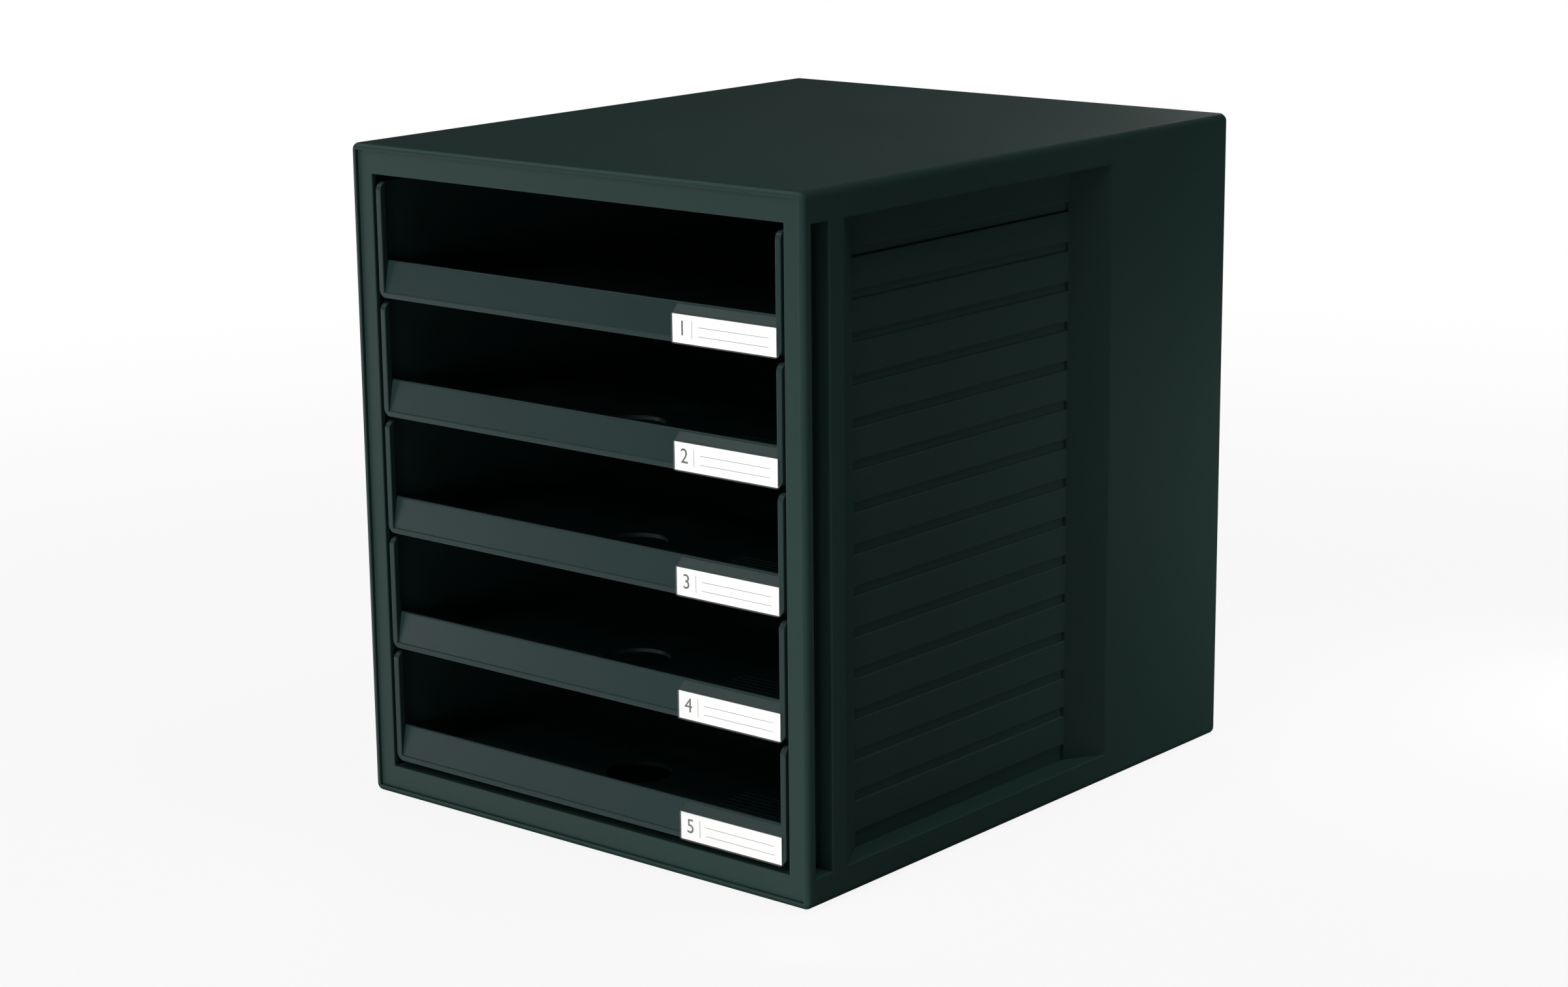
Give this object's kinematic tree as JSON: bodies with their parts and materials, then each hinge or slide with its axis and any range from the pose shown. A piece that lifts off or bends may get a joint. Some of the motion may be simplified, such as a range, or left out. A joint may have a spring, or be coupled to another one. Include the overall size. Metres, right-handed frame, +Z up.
{
  "type": "desktop drawer organizer",
  "caption": "Boxy desktop organizer with a column of open letter trays that slide out of a casing with louvred sides, each with a label at its right.",
  "frame": {"origin": "middle of the footprint, on the surface that the feet stand on", "axes": "+Z up, the open front faces -Y, +X to the right of someone facing the front"},
  "size_m": [0.275, 0.33, 0.32],
  "materials": {
    "casing_plastic": "fine matte grain",
    "drawer_plastic": "satin",
    "clear_plastic": "clear gloss",
    "label_card": "matte card",
    "foot_rubber": "matte"
  },
  "bodies": {
    "casing_body": {"casing": "casing_plastic", "front_frame": "casing_plastic", "back_panel": "casing_plastic", "foot_front_left": "foot_rubber", "foot_front_right": "foot_rubber", "foot_back_left": "foot_rubber", "foot_back_right": "foot_rubber"},
    "drawer_1_body": {"drawer_1": "drawer_plastic", "label_holder_1": "clear_plastic", "label_card_1": "label_card"},
    "drawer_2_body": {"drawer_2": "drawer_plastic", "label_holder_2": "clear_plastic", "label_card_2": "label_card"},
    "drawer_3_body": {"drawer_3": "drawer_plastic", "label_holder_3": "clear_plastic", "label_card_3": "label_card"},
    "drawer_4_body": {"drawer_4": "drawer_plastic", "label_holder_4": "clear_plastic", "label_card_4": "label_card"},
    "drawer_5_body": {"drawer_5": "drawer_plastic", "label_holder_5": "clear_plastic", "label_card_5": "label_card"}
  },
  "joints": [
    {"name": "drawer_1_slide", "type": "slide", "parent": "casing_body", "child": "drawer_1_body", "axis": [0, -1, 0], "range_m": [0, 0.244]},
    {"name": "drawer_2_slide", "type": "slide", "parent": "casing_body", "child": "drawer_2_body", "axis": [0, -1, 0], "range_m": [0, 0.244]},
    {"name": "drawer_3_slide", "type": "slide", "parent": "casing_body", "child": "drawer_3_body", "axis": [0, -1, 0], "range_m": [0, 0.244]},
    {"name": "drawer_4_slide", "type": "slide", "parent": "casing_body", "child": "drawer_4_body", "axis": [0, -1, 0], "range_m": [0, 0.244]},
    {"name": "drawer_5_slide", "type": "slide", "parent": "casing_body", "child": "drawer_5_body", "axis": [0, -1, 0], "range_m": [0, 0.244]}
  ]
}
